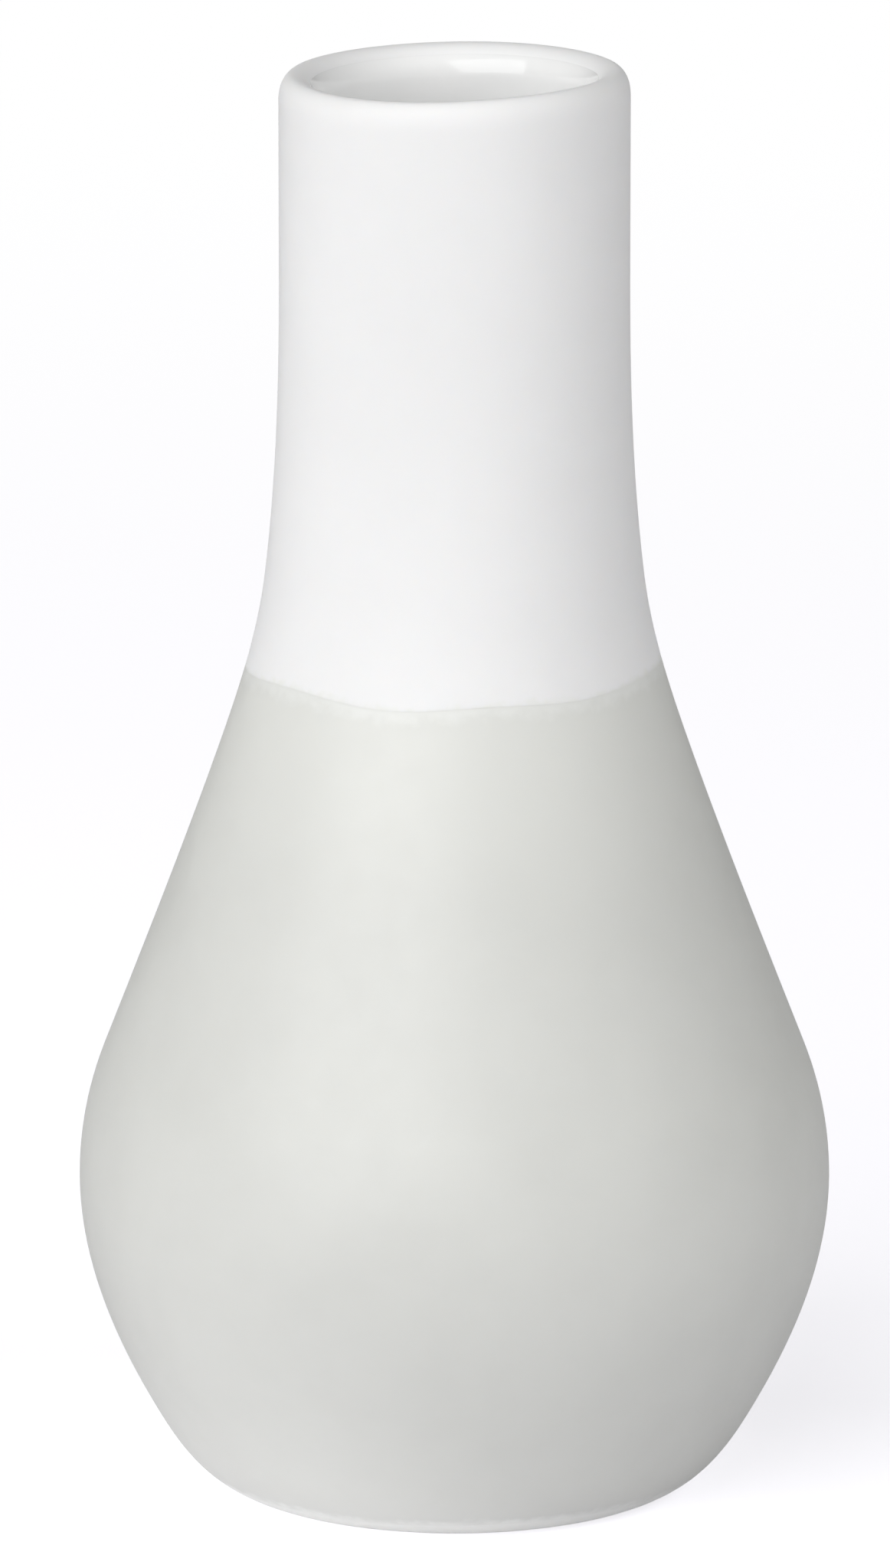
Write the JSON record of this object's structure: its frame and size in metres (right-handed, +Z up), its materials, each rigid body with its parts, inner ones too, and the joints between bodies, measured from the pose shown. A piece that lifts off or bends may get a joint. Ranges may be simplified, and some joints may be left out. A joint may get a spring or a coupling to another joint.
{
  "type": "bud vase",
  "caption": "Small bud vase with a round lip, a straight neck and a low pear-shaped belly; the upper half is bare porcelain, the lower half has a tinted matt coat, and the inside is glazed.",
  "frame": {"origin": "middle of the foot ring, on the surface that the vase stands on", "axes": "+Z up along the axis that the vase is turned about; +X and +Y are alike"},
  "size_m": [0.0574, 0.0574, 0.11],
  "materials": {
    "bare_porcelain": "bare white porcelain, fired and unglazed, smooth and matt with a very fine grain",
    "tinted_coat": "very pale grey-green matt coat with faint mottling and a soft dipped edge",
    "gloss_glaze": "clear gloss glaze over white porcelain, wet-looking and mirror smooth"
  },
  "bodies": {
    "root": {"porcelain_body": "bare_porcelain", "interior_glaze": "gloss_glaze", "dip_coat": "tinted_coat", "base_coat": "tinted_coat"}
  },
  "joints": []
}
